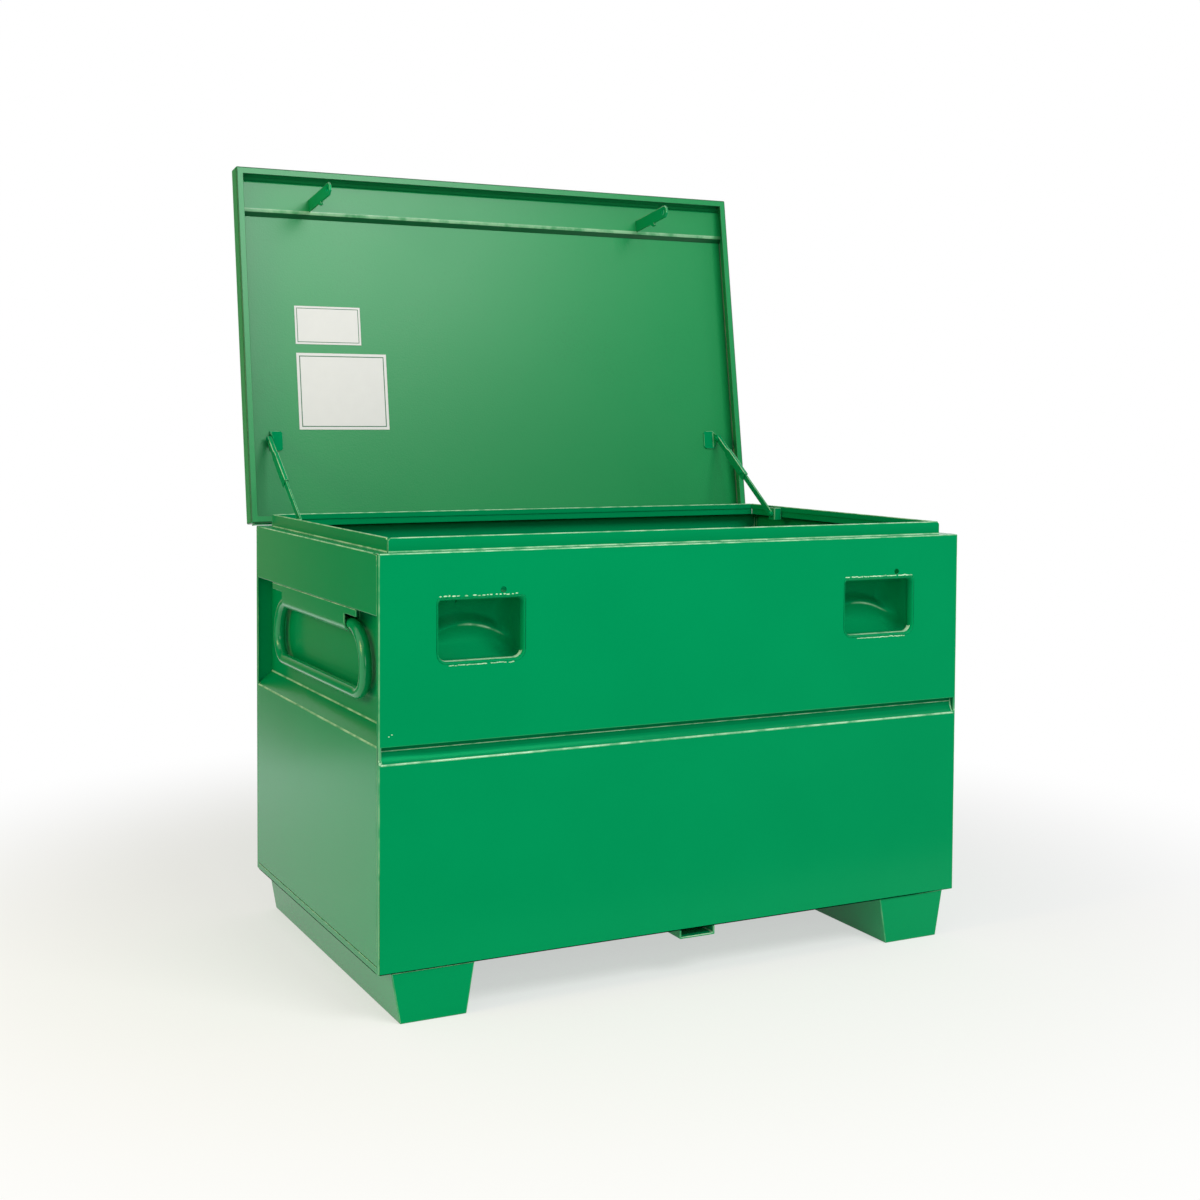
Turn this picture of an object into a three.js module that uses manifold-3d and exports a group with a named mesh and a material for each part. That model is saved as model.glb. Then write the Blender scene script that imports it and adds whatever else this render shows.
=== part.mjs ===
// Jobsite storage box: a sheet steel chest on two skids, with a hinged lid held open by folding stays,
// two lock cups behind the front panel and a drop handle in a recess at each end.
// Millimetres, +Z up, the front faces -Y. The lid stands open, leaning back on its straightened stays.
import * as THREE from 'three';
import { mergeVertices } from 'three/addons/utils/BufferGeometryUtils.js';
import Module from 'manifold-3d';

const wasm = await Module();
wasm.setup();

// Sheet and fit
const sheet = 2;
const fitGap = 0.3;
const overrun = 5;

// Body
const boxWidth = 1219.2;
const boxDepth = 762;
const bodyHeight = 718;
const bottomFlange = 20;
const cornerReturn = 11;
const ledgeWidth = 26;
const lipHeight = 25;
const hemLength = 12;
const hemGap = 0.5;
const lipChamfer = 5;

// Groove across the front and rear panels
const grooveDrop = 329;
const grooveHeight = 29.5;
const grooveDepth = 12;
const grooveEnd = 5;
const grooveCurveShares = [[0, 0], [0.45, 0.14], [0.84, 0.45], [1, 1]];

// Handle recess in each side panel
const recessDepth = 32;
const recessDrop = 106.5;
const shelfRise = 25;

// Floor, skids and centre channel
const floorEdge = 12;
const floorSlit = 1.5;
const skidHeight = 90;
const skidSheet = 3;
const skidInset = 23.6;
const skidTopWidth = 154;
const skidOuterSlope = 16;
const skidInnerSlope = 15;
const skidSetback = 3;
const channelOffset = 14.5;
const channelWidth = 75;
const channelDrop = 17;
const channelWall = 3.5;

// Lock cups
const cupWidth = 166;
const cupHeight = 114;
const cupDrop = 80;
const leftCupInset = 187.6;
const rightCupInset = 190.6;
const cupDepth = 98;
const cupWall = 4;
const cupProud = 0.8;
const cupTopRadius = 5;
const cupBottomRadius = 19;
const ridgeRadius = 130;
const ridgeBand = 9;
const ridgeDepth = 23;
const ridgeRise = 57;
const ventHoleRadius = 5;
const ventHoleX = 41;
const ventHoleRise = 11;

// Lid
const lidDepth = 38;
const rearOverhang = 7;
const lidRim = 15;
const leanBack = 8.6;
const stiffenerInset = 21;
const stiffenerSlope = 3;
const stiffenerFlat = 65;
const stiffenerRearSlope = 12;
const stiffenerFoot = 8;
const stiffenerFace = 26.5;
const labelThickness = 0.5;
const labelInset = 124.6;
const ratingLabelWidth = 149;
const ratingLabelHeight = 84.5;
const ratingLabelLow = 391.5;
const noticeLabelWidth = 205;
const noticeLabelHeight = 168.5;
const noticeLabelLow = 203.5;

// Lock tongues
const tongueThickness = 5;
const leftTongueShift = -21;
const rightTongueShift = -47;
const tongueReach = 126;
const tongueInset = 57;
const tongueWidth = 28;
const tongueCorner = 8;
const nubReach = 7;
const nubPlace = 42;
const nubLength = 26;
const nubSlope = 14;
const nubHook = 5;
const shackleHoleRadius = 6.5;
const shackleHoleInset = 16;
const slotMargin = 7;

// Hinge
const pinBack = 17;
const pinDrop = 12.3;
const pinRadius = 4.75;
const boreRadius = 5.05;
const knuckleRadius = 8;
const knuckleCount = 15;
const knuckleGap = 1;
const hingeInset = 10;
const leafThickness = 3;
const bodyLeafHeight = 50;
const bodyLeafDrop = 16;
const lidLeafLow = 7;
const lidLeafHigh = 33;

// Stays
const stayInset = 52.1;
const stayBodyReach = 151;
const stayBodyRise = 8;
const stayLidReach = 181;
const stayLidStand = 21;
const lowerLinkShare = 0.539;
const barThickness = 4;
const barWidth = 15;
const linkSheet = 1.8;
const linkClearance = 0.5;
const webStand = 8;
const cheekDrop = 11;
const linkEndHalf = 6.5;
const linkNeck = 50;
const linkNeckSlope = 10;
const linkOverlap = 19;
const rivetShank = 4;
const rivetHole = 4.3;
const rivetHead = 6;
const rivetHeadHeight = 2.2;
const bracketThickness = 3;
const bracketHalfWidth = 12;
const bracketHalfHeight = 14;
const lidPlateWidth = 29;
const lidPlateLow = 24;
const lidPlateHigh = 19;
const lidPlateRadius = 8;
const earRadius = 9;

// Handles
const gripRadius = 11.1;
const handleHalfWidth = 267.5;
const handleDrop = 119.5;
const handleTopRadius = 72;
const handleBottomRadius = 46;
const handleMeeting = 3;
const handleBracketInset = 72.5;
const handleTabLength = 65;
const handleTabHeight = 12.7;
const handleBracketSheet = 3;
const handleBracketLegs = 31.2;

// Counts
const roundSides = 16;
const gripSides = 12;
const gripSteps = 80;
const cornerSteps = 4;
const ridgeSteps = 12;

// Finish
const enamelGreen = '#06914f';
const linerGreen = '#2f9a63';
const labelWhite = '#e9ece8';

const halfWidth = boxWidth / 2;
const halfDepth = boxDepth / 2;
const lidLength = boxDepth + rearOverhang;

const axisX = new THREE.Vector3(1, 0, 0);
const axisY = new THREE.Vector3(0, 1, 0);
const axisZ = new THREE.Vector3(0, 0, 1);

// A closed outline through a list of points
function polygon(points) {
  return new THREE.Shape(points.map(([across, up]) => new THREE.Vector2(across, up)));
}

function rectangle(left, low, right, high) {
  return polygon([[left, low], [right, low], [right, high], [left, high]]);
}

// Points on an arc round a centre, from one angle to another
function arcPoints(across, up, radius, start, end, steps) {
  return Array.from({ length: steps + 1 }, (unused, i) => {
    const angle = start + (end - start) * i / steps;
    return [across + radius * Math.cos(angle), up + radius * Math.sin(angle)];
  });
}

// A circle as an outline with flat sides
function disc(across, up, radius, sides) {
  return polygon(arcPoints(across, up, radius, 0, 2 * Math.PI, sides).slice(1));
}

// A rectangle with one radius on its top corners and another on its bottom corners
function cupOutline(left, low, right, high, topRadius, bottomRadius) {
  const quarter = Math.PI / 2;
  return polygon([
    ...arcPoints(right - bottomRadius, low + bottomRadius, bottomRadius, -quarter, 0, cornerSteps),
    ...arcPoints(right - topRadius, high - topRadius, topRadius, 0, quarter, cornerSteps),
    ...arcPoints(left + topRadius, high - topRadius, topRadius, quarter, Math.PI, cornerSteps),
    ...arcPoints(left + bottomRadius, low + bottomRadius, bottomRadius, Math.PI, 3 * quarter, cornerSteps),
  ]);
}

// The section of a bent sheet: its outer line, and the same line moved to its right by the thickness
function bentSheet(line, thickness) {
  const corner = line.map(([across, up], i) => {
    const before = line[Math.max(i - 1, 0)];
    const here = i === 0 ? line[1] : line[i];
    const after = line[Math.min(i + 1, line.length - 1)];
    const last = i === line.length - 1 ? line[i - 1] : line[i];
    const into = new THREE.Vector2(here[0] - before[0], here[1] - before[1]).normalize();
    const away = new THREE.Vector2(after[0] - last[0], after[1] - last[1]).normalize();
    const mitre = thickness / (1 + into.dot(away));
    return [across + mitre * (into.y + away.y), up - mitre * (into.x + away.x)];
  });
  return [...line, ...corner.reverse()];
}

// An outline in the Y-Z plane carried along X
function alongX(shape, fromX, toX) {
  const geometry = new THREE.ExtrudeGeometry(shape, { depth: Math.abs(toX - fromX), bevelEnabled: false });
  geometry.applyMatrix4(new THREE.Matrix4().makeBasis(axisY, axisZ, axisX));
  geometry.translate(Math.min(fromX, toX), 0, 0);
  return geometry;
}

// An outline in the X-Z plane carried along Y
function alongY(shape, fromY, toY) {
  const geometry = new THREE.ExtrudeGeometry(shape, { depth: Math.abs(toY - fromY), bevelEnabled: false });
  geometry.rotateX(Math.PI / 2);
  geometry.translate(0, Math.max(fromY, toY), 0);
  return geometry;
}

// An outline in the X-Y plane carried along Z
function alongZ(shape, fromZ, toZ) {
  const geometry = new THREE.ExtrudeGeometry(shape, { depth: Math.abs(toZ - fromZ), bevelEnabled: false });
  geometry.translate(0, 0, Math.min(fromZ, toZ));
  return geometry;
}

// A box between two corners
function block([x0, y0, z0], [x1, y1, z1]) {
  return alongZ(rectangle(Math.min(x0, x1), Math.min(y0, y1), Math.max(x0, x1), Math.max(y0, y1)), z0, z1);
}

function toSolid(geometry) {
  const bare = geometry.clone();
  bare.deleteAttribute('normal');
  bare.deleteAttribute('uv');
  const merged = mergeVertices(bare);
  const vertProperties = new Float32Array(merged.attributes.position.array);
  const triVerts = new Uint32Array(merged.index.array);
  return new wasm.Manifold(new wasm.Mesh({ numProp: 3, vertProperties, triVerts }));
}

function toGeometry(solid) {
  const mesh = solid.getMesh();
  const geometry = new THREE.BufferGeometry();
  geometry.setAttribute('position', new THREE.BufferAttribute(mesh.vertProperties, 3));
  geometry.setIndex(new THREE.BufferAttribute(mesh.triVerts, 1));
  return geometry;
}

// One geometry with others joined to it and others cut from it
function carve(base, joined, cut) {
  let solid = toSolid(base);
  for (const geometry of joined) {
    solid = solid.add(toSolid(geometry));
  }
  for (const geometry of cut) {
    solid = solid.subtract(toSolid(geometry));
  }
  return toGeometry(solid);
}

function paint(color, metalness, roughness) {
  return new THREE.MeshStandardMaterial({ color, metalness, roughness });
}

const enamel = () => paint(enamelGreen, 0, 0.35);
const liner = () => paint(linerGreen, 0, 0.45);
const printed = () => paint(labelWhite, 0, 0.6);

const part = new THREE.Group();
const body = new THREE.Group();
body.position.z = skidHeight;
part.add(body);

function addPiece(parent, name, geometry, material) {
  const piece = new THREE.Mesh(geometry, material);
  piece.name = name;
  parent.add(piece);
  return piece;
}

// Front and rear panels: one bent sheet from the bottom flange over the groove and the ledge to the lip
const lipTop = bodyHeight + lipHeight;
const grooveTop = bodyHeight - grooveDrop;
const hemFar = ledgeWidth + 2 * sheet + hemGap;
const ledgeLine = [
  [0, bodyHeight],
  [ledgeWidth, bodyHeight],
  [ledgeWidth, lipTop],
  [hemFar, lipTop],
  [hemFar, lipTop - hemLength],
];
const longPanelLine = [
  [bottomFlange, 0],
  [0, 0],
  ...grooveCurveShares.map(([inShare, upShare]) =>
    [grooveDepth * inShare, grooveTop - grooveHeight + grooveHeight * upShare]),
  [0, grooveTop],
  ...ledgeLine,
];
const returnEdge = halfDepth - cornerReturn;
const sideInner = halfWidth - sheet;
const ledgeUnder = bodyHeight - sheet;

function longPanel(openings) {
  const face = -halfDepth;
  const section = bentSheet(longPanelLine, sheet).map(([inward, up]) => [face + inward, up]);
  const panel = alongX(polygon(section), -halfWidth, halfWidth);
  const cut = [...openings];
  for (const side of [-1, 1]) {
    const innerEdge = side * (sideInner - fitGap);
    const lipEnd = side * (halfWidth - ledgeWidth);
    const far = side * (halfWidth + overrun);
    cut.push(block([innerEdge, -returnEdge, -overrun], [far, 0, ledgeUnder - fitGap]));
    cut.push(alongY(polygon([
      [lipEnd, bodyHeight],
      [lipEnd, lipTop - lipChamfer],
      [lipEnd - side * lipChamfer, lipTop],
      [lipEnd - side * lipChamfer, lipTop + overrun],
      [far, lipTop + overrun],
      [far, bodyHeight],
    ]), face, 0));
  }
  const returns = [-1, 1].flatMap((side) => [
    block([side * sideInner, face, 0], [side * halfWidth, -returnEdge, bodyHeight]),
    block([side * (halfWidth - grooveEnd), face, grooveTop - grooveHeight],
      [side * halfWidth, -returnEdge, grooveTop]),
  ]);
  return carve(carve(panel, [], cut), returns, []);
}

// Lock cups stand in openings of the front panel, each under a small vent hole
const cupTop = bodyHeight - cupDrop;
const cupBottom = cupTop - cupHeight;
const leftCupX = leftCupInset - halfWidth;
const rightCupX = halfWidth - rightCupInset;
const leftTongueX = leftCupX + leftTongueShift;
const rightTongueX = rightCupX + rightTongueShift;
const cups = [
  { name: 'left_lock_cup', x: leftCupX, tongueX: leftTongueX },
  { name: 'right_lock_cup', x: rightCupX, tongueX: rightTongueX },
];
const frontOpenings = cups.flatMap(({ x }) => [
  alongY(cupOutline(x - cupWidth / 2, cupBottom, x + cupWidth / 2, cupTop, cupTopRadius, cupBottomRadius),
    -halfDepth - overrun, -halfDepth + overrun),
  alongY(disc(x + ventHoleX, cupTop + ventHoleRise, ventHoleRadius, roundSides),
    -halfDepth - overrun, -halfDepth + overrun),
]);
addPiece(body, 'front_panel', longPanel(frontOpenings), enamel());
addPiece(body, 'rear_panel', longPanel([]), enamel()).rotation.z = Math.PI;

// Side panels: a bent sheet with the handle recess, between the front and rear panels
const shelfEnd = grooveTop + shelfRise;
const recessTop = bodyHeight - recessDrop;
const sidePanelLine = [
  [0, floorEdge + floorSlit],
  [0, grooveTop],
  [recessDepth, shelfEnd],
  [recessDepth, recessTop],
  [0, recessTop],
  ...ledgeLine,
];
const longInner = halfDepth - sheet - fitGap;
const grooveBack = halfDepth - grooveDepth - 2 * sheet;

function sidePanel() {
  const section = bentSheet(sidePanelLine, sheet).map(([inward, up]) => [halfWidth - inward, up]);
  const panel = alongY(polygon(section), -longInner, longInner);
  const cut = [];
  for (const side of [-1, 1]) {
    const far = side * (halfDepth + overrun);
    const skinEnd = side * (returnEdge - fitGap);
    const ledgeEnd = side * (halfDepth - ledgeWidth - sheet - fitGap);
    const lipEnd = side * (halfDepth - hemFar - fitGap);
    const outside = halfWidth + overrun;
    const inside = halfWidth - hemFar - recessDepth;
    const skinInner = sideInner - fitGap;
    cut.push(block([skinInner, skinEnd, 0], [outside, far, lipTop]));
    cut.push(block([inside, side * grooveBack, 0], [skinInner, far, grooveTop + sheet + fitGap]));
    cut.push(block([inside, ledgeEnd, ledgeUnder - fitGap], [outside, far, lipTop + overrun]));
    cut.push(block([inside, lipEnd, bodyHeight], [outside, far, lipTop + overrun]));
  }
  return carve(panel, [], cut);
}
addPiece(body, 'right_side_panel', sidePanel(), enamel());
addPiece(body, 'left_side_panel', sidePanel(), enamel()).rotation.z = Math.PI;

// Floor between the bottom flanges, turned up along both ends
const flangeEdge = halfDepth - bottomFlange;
const floorLine = [[halfWidth, floorEdge], [halfWidth, 0], [-halfWidth, 0], [-halfWidth, floorEdge]];
const floorEnd = returnEdge - fitGap;
addPiece(body, 'floor_pan', carve(
  alongY(polygon(bentSheet(floorLine, sheet)), -floorEnd, floorEnd),
  [],
  [-1, 1].map((side) => block(
    [-sideInner, side * (flangeEdge - fitGap), -overrun],
    [sideInner, side * (floorEnd + overrun), floorEdge + overrun],
  )),
), enamel());

// Skids: open-topped trough with sloping sides and closed ends
function skid() {
  const foot = -skidHeight;
  const head = -fitGap;
  const outerLean = skidOuterSlope / skidHeight;
  const innerLean = skidInnerSlope / skidHeight;
  const topOuter = halfWidth - skidInset;
  const topInner = topOuter - skidTopWidth;
  const bottomOuter = topOuter - skidOuterSlope;
  const bottomInner = topInner + skidInnerSlope;
  const outerWall = skidSheet * Math.hypot(1, outerLean);
  const innerWall = skidSheet * Math.hypot(1, innerLean);
  const end = halfDepth - skidSetback;
  const outline = [
    [bottomInner, foot],
    [bottomOuter, foot],
    [topOuter + outerLean * head, head],
    [topInner - innerLean * head, head],
  ];
  const hollow = [
    [bottomInner - innerLean * skidSheet + innerWall, foot + skidSheet],
    [bottomOuter + outerLean * skidSheet - outerWall, foot + skidSheet],
    [topOuter + outerLean * overrun - outerWall, overrun],
    [topInner - innerLean * overrun + innerWall, overrun],
  ];
  const room = end - skidSheet;
  return carve(alongY(polygon(outline), -end, end), [], [alongY(polygon(hollow), -room, room)]);
}
addPiece(body, 'right_skid', skid(), enamel());
addPiece(body, 'left_skid', skid(), enamel()).rotation.z = Math.PI;

// Centre channel under the floor, open at both ends
const channelLeft = channelOffset - channelWidth / 2;
const channelRight = channelOffset + channelWidth / 2;
addPiece(body, 'floor_channel', alongY(polygon([
  [channelLeft, -fitGap],
  [channelLeft, -channelDrop],
  [channelRight, -channelDrop],
  [channelRight, -fitGap],
  [channelRight - channelWall, -fitGap],
  [channelRight - channelWall, -channelDrop + channelWall],
  [channelLeft + channelWall, -channelDrop + channelWall],
  [channelLeft + channelWall, -fitGap],
]), -halfDepth, halfDepth), enamel());

// Lid frame: its origin is on the lid's rear edge at the rim, -Y runs to the front, +Z is the lid's depth
const pinY = halfDepth + rearOverhang + pinBack;
const pinZ = bodyHeight + fitGap - pinDrop;
const openAngle = THREE.MathUtils.degToRad(90 + leanBack);
const lid = new THREE.Group();
lid.position.set(0, pinY, pinZ);
lid.rotation.x = -openAngle;
body.add(lid);
const lidFrame = new THREE.Group();
lidFrame.position.set(0, -pinBack, pinDrop);
lid.add(lidFrame);

// Lock cup: a deep pocket with an arched ridge on its back, and a slot in its ceiling for the tongue
const cupBack = -halfDepth + cupDepth;
const tongueNear = tongueInset - halfDepth;
const tongueFar = tongueNear + tongueWidth;
for (const { name, x, tongueX } of cups) {
  const rim = -halfDepth - cupProud;
  const left = x - cupWidth / 2 + fitGap;
  const right = x + cupWidth / 2 - fitGap;
  const low = cupBottom + fitGap;
  const high = cupTop - fitGap;
  const outer = cupOutline(left, low, right, high, cupTopRadius - fitGap, cupBottomRadius - fitGap);
  const inner = cupOutline(left + cupWall, low + cupWall, right - cupWall, high - cupWall,
    cupTopRadius - fitGap, cupBottomRadius - cupWall);
  const slotHalf = tongueThickness / 2 + slotMargin;
  const slot = block(
    [tongueX - slotHalf, tongueNear - slotMargin, high - cupWall - overrun],
    [tongueX + slotHalf, tongueFar + slotMargin, high + overrun],
  );
  const reach = Math.asin((right - left - 2 * cupWall) / 2 / ridgeRadius);
  const bow = Math.PI / 2;
  const ridgeUp = cupBottom + ridgeRise - ridgeRadius;
  const ridge = alongY(polygon([
    ...arcPoints(x, ridgeUp, ridgeRadius, bow - reach, bow + reach, ridgeSteps),
    ...arcPoints(x, ridgeUp + ridgeBand, ridgeRadius, bow + reach, bow - reach, ridgeSteps),
  ]), cupBack - ridgeDepth, cupBack + sheet / 2);
  const pocket = carve(alongY(outer, rim, cupBack + sheet), [], [
    alongY(inner, rim - overrun, cupBack),
    slot,
  ]);
  addPiece(body, name, carve(pocket, [ridge], []), enamel());
}

// Lid shell: a shallow pan with its rim turned in all round
addPiece(lidFrame, 'lid_shell', carve(
  block([-halfWidth, -lidLength, 0], [halfWidth, 0, lidDepth]),
  [],
  [
    block([-sideInner, -lidLength + sheet, sheet], [sideInner, -sheet, lidDepth - sheet]),
    block([-halfWidth + lidRim, -lidLength + lidRim, -overrun],
      [halfWidth - lidRim, -lidRim, sheet + overrun]),
  ],
), enamel());

// Lid stiffener: a shallow bent section across the front of the lid, its rear foot turned in under the flat
const skinSeat = lidDepth - sheet - fitGap;
const stiffenerFront = stiffenerInset - lidLength;
const flatFront = stiffenerFront + stiffenerSlope;
const flatRear = flatFront + stiffenerFlat;
const stiffenerRear = flatRear + stiffenerRearSlope;
const stiffenerLine = [
  [stiffenerRear - stiffenerFoot, skinSeat],
  [stiffenerRear, skinSeat],
  [flatRear, stiffenerFace],
  [flatFront, stiffenerFace],
  [stiffenerFront, skinSeat - sheet],
  [stiffenerFront - stiffenerFoot, skinSeat - sheet],
];
addPiece(lidFrame, 'lid_stiffener',
  alongX(polygon(bentSheet(stiffenerLine, sheet)), -sideInner + fitGap, sideInner - fitGap), liner());

// Lock tongues on the stiffener
const tongues = [
  { name: 'left_lock_tongue', x: leftTongueX },
  { name: 'right_lock_tongue', x: rightTongueX },
];
for (const { name, x } of tongues) {
  const seat = stiffenerFace - fitGap;
  const high = tongueInset - lidLength;
  const low = high + tongueWidth;
  const outline = polygon([
    [low, seat],
    [high, seat],
    [high, -tongueReach + tongueCorner],
    [high + tongueCorner, -tongueReach],
    [low - tongueCorner, -tongueReach],
    [low, -tongueReach + tongueCorner],
    [low, -nubPlace - nubLength + nubHook],
    [low + nubReach, -nubPlace - nubLength],
    [low + nubReach, -nubPlace - nubSlope],
    [low, -nubPlace],
  ]);
  const half = tongueThickness / 2;
  const hole = alongX(
    disc((low + high) / 2, -tongueReach + shackleHoleInset, shackleHoleRadius, roundSides),
    x - half - overrun,
    x + half + overrun,
  );
  addPiece(lidFrame, name, carve(alongX(outline, x - half, x + half), [], [hole]), liner());
}

// Bare label plates on the inside of the lid
const labelLeft = labelInset - halfWidth;
const labels = [
  { name: 'rating_label', width: ratingLabelWidth, height: ratingLabelHeight, low: ratingLabelLow },
  { name: 'notice_label', width: noticeLabelWidth, height: noticeLabelHeight, low: noticeLabelLow },
];
for (const { name, width, height, low } of labels) {
  addPiece(lidFrame, name, block(
    [labelLeft, -low - height, skinSeat - labelThickness],
    [labelLeft + width, -low, skinSeat],
  ), printed());
}

// Hinge: two leaves with alternating knuckles on one pin
const hingeHalf = halfWidth - hingeInset;
const knucklePitch = 2 * hingeHalf / knuckleCount;

function hingeLeaf(plate, root, centre, firstKnuckle) {
  const joined = [];
  const reach = new THREE.Vector2(centre[0] - root[0], centre[1] - root[1]).normalize();
  const half = leafThickness / 2;
  const arm = polygon([
    [root[0] - half * reach.y, root[1] + half * reach.x],
    [root[0] + half * reach.y, root[1] - half * reach.x],
    [centre[0] + half * reach.y, centre[1] - half * reach.x],
    [centre[0] - half * reach.y, centre[1] + half * reach.x],
  ]);
  for (let k = firstKnuckle; k < knuckleCount; k += 2) {
    const start = -hingeHalf + k * knucklePitch + knuckleGap / 2;
    const end = start + knucklePitch - knuckleGap;
    joined.push(alongX(arm, start, end));
    joined.push(alongX(disc(centre[0], centre[1], knuckleRadius, roundSides), start, end));
  }
  const bore = alongX(disc(centre[0], centre[1], boreRadius, roundSides), -halfWidth, halfWidth);
  return carve(alongX(plate, -hingeHalf, hingeHalf), joined, [bore]);
}

const leafNear = halfDepth + fitGap;
const leafTop = pinZ - bodyLeafDrop;
addPiece(body, 'hinge_body_leaf', hingeLeaf(
  rectangle(leafNear, leafTop - bodyLeafHeight, leafNear + leafThickness, leafTop),
  [leafNear + leafThickness / 2, leafTop - leafThickness / 2],
  [pinY, pinZ],
  0,
), enamel());
addPiece(lidFrame, 'hinge_lid_leaf', hingeLeaf(
  rectangle(fitGap, lidLeafLow, fitGap + leafThickness, lidLeafHigh),
  [fitGap + leafThickness / 2, lidLeafLow + leafThickness / 2],
  [pinBack, -pinDrop],
  1,
), enamel());
const pinHalf = hingeHalf + sheet;
addPiece(body, 'hinge_pin', alongX(disc(pinY, pinZ, pinRadius, roundSides), -pinHalf, pinHalf), enamel());

// A point of the open lid, given along the lid and across its depth, in the body's frame
function openLidPoint(along, deep) {
  const point = new THREE.Vector3(0, -pinBack - along, pinDrop + deep);
  return point.applyAxisAngle(axisX, -openAngle).add(lid.position);
}

// A headed pin along X round a centre in the Y-Z plane, running outwards on its side of the box
function rivet(side, y, z, fromX, toX, headAtEnd) {
  const profile = [[0, fromX - rivetHeadHeight], [rivetHead, fromX - rivetHeadHeight], [rivetHead, fromX],
    [rivetShank, fromX], [rivetShank, toX]];
  if (headAtEnd) {
    profile.push([rivetHead, toX], [rivetHead, toX + rivetHeadHeight], [0, toX + rivetHeadHeight]);
  } else {
    profile.push([0, toX]);
  }
  const points = profile.map(([radius, along]) => new THREE.Vector2(radius, along));
  const geometry = new THREE.LatheGeometry(points, roundSides);
  geometry.rotateZ(-side * Math.PI / 2);
  geometry.translate(0, y, z);
  return geometry;
}

// Folding stays: a flat lower link that folds into a channel-shaped upper link
const bodyPivot = new THREE.Vector3(0, halfDepth - stayBodyReach, bodyHeight + stayBodyRise);
const lidPivot = openLidPoint(stayLidReach, stayLidStand);
const stayLine = lidPivot.clone().sub(bodyPivot);
const stayLength = stayLine.length();
const elbow = stayLength * lowerLinkShare;
const barHalf = barThickness / 2;
const channelInner = barHalf + linkClearance;
const channelOuter = channelInner + linkSheet;
const stayMid = halfWidth - stayInset;
const liftedHead = channelOuter + fitGap;

function upperLink() {
  const far = stayLength;
  const slopeEnd = far - linkNeck;
  const slopeStart = slopeEnd - linkNeckSlope;
  const start = elbow - linkOverlap;
  const top = webStand + linkSheet;
  const quarter = Math.PI / 2;
  const outline = [
    [start, -cheekDrop],
    [slopeStart, -cheekDrop],
    [slopeEnd, -linkEndHalf],
    ...arcPoints(far, 0, linkEndHalf, -quarter, quarter, 2 * cornerSteps),
    [slopeEnd, linkEndHalf],
    [slopeStart, top],
    [start, top],
  ];
  const room = [
    [start - overrun, -cheekDrop - overrun],
    [far + linkEndHalf + overrun, -cheekDrop - overrun],
    [far + linkEndHalf + overrun, linkEndHalf - linkSheet],
    [slopeEnd, linkEndHalf - linkSheet],
    [slopeStart, webStand],
    [start - overrun, webStand],
  ];
  const holes = [elbow, far].map((y) => (
    alongX(disc(y, 0, rivetHole, roundSides), -channelOuter - overrun, channelOuter + overrun)
  ));
  return carve(alongX(polygon(outline), -channelOuter, channelOuter), [], [
    alongX(polygon(room), -channelInner, channelInner),
    ...holes,
  ]);
}

function lowerLink() {
  const quarter = Math.PI / 2;
  const half = barWidth / 2;
  const outline = polygon([
    ...arcPoints(elbow, 0, half, -quarter, quarter, 2 * cornerSteps),
    ...arcPoints(0, 0, half, quarter, 3 * quarter, 2 * cornerSteps),
  ]);
  const holes = [0, elbow].map((y) => alongX(disc(y, 0, rivetHole, roundSides), -overrun, overrun));
  return carve(alongX(outline, -barHalf, barHalf), [], holes);
}

// Bracket of bent plate on the box: one leg runs to the side lip, the other carries the body pivot
function bodyBracket(side) {
  const near = barHalf + linkClearance;
  const lipSide = stayInset - hemFar - fitGap;
  const low = bodyPivot.z - bracketHalfHeight;
  const high = bodyPivot.z + bracketHalfHeight;
  const front = bodyPivot.y - bracketHalfWidth;
  return carve(
    block([side * near, front, low],
      [side * (near + bracketThickness), bodyPivot.y + bracketHalfWidth, high]),
    [
      block([side * near, front, low], [side * lipSide, front + bracketThickness, high]),
      alongX(disc(bodyPivot.y, bodyPivot.z, rivetHead, roundSides), side * (near + barHalf),
        side * (near + bracketThickness + rivetHeadHeight)),
    ],
    [],
  );
}

// Bracket on the lid's skin: a base plate with an ear that carries the lid pivot
function lidBracket(side) {
  const earFar = -channelOuter - linkClearance;
  const earNear = earFar - bracketThickness;
  const low = -stayLidReach + lidPlateLow;
  const high = -stayLidReach - lidPlateHigh;
  const inner = earFar - lidPlateWidth;
  const quarter = Math.PI / 2;
  const round = inner + lidPlateRadius;
  const plate = polygon([
    [earFar, low],
    [earFar, high],
    ...arcPoints(round, high + lidPlateRadius, lidPlateRadius, 3 * quarter, 2 * quarter, cornerSteps),
    ...arcPoints(round, low - lidPlateRadius, lidPlateRadius, 2 * quarter, quarter, cornerSteps),
  ].map(([across, along]) => [side * across, along]));
  const ear = polygon([
    [high, skinSeat],
    [-stayLidReach - earRadius, stayLidStand],
    ...arcPoints(-stayLidReach, stayLidStand, earRadius, Math.PI, 2 * Math.PI, 2 * cornerSteps).slice(1),
    [low, skinSeat],
  ]);
  return carve(
    alongZ(plate, skinSeat - bracketThickness, skinSeat),
    [alongX(ear, side * earNear, side * earFar)],
    [alongX(disc(-stayLidReach, stayLidStand, rivetHole, roundSides),
      side * (earNear - overrun), side * (earFar + overrun))],
  );
}

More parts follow.
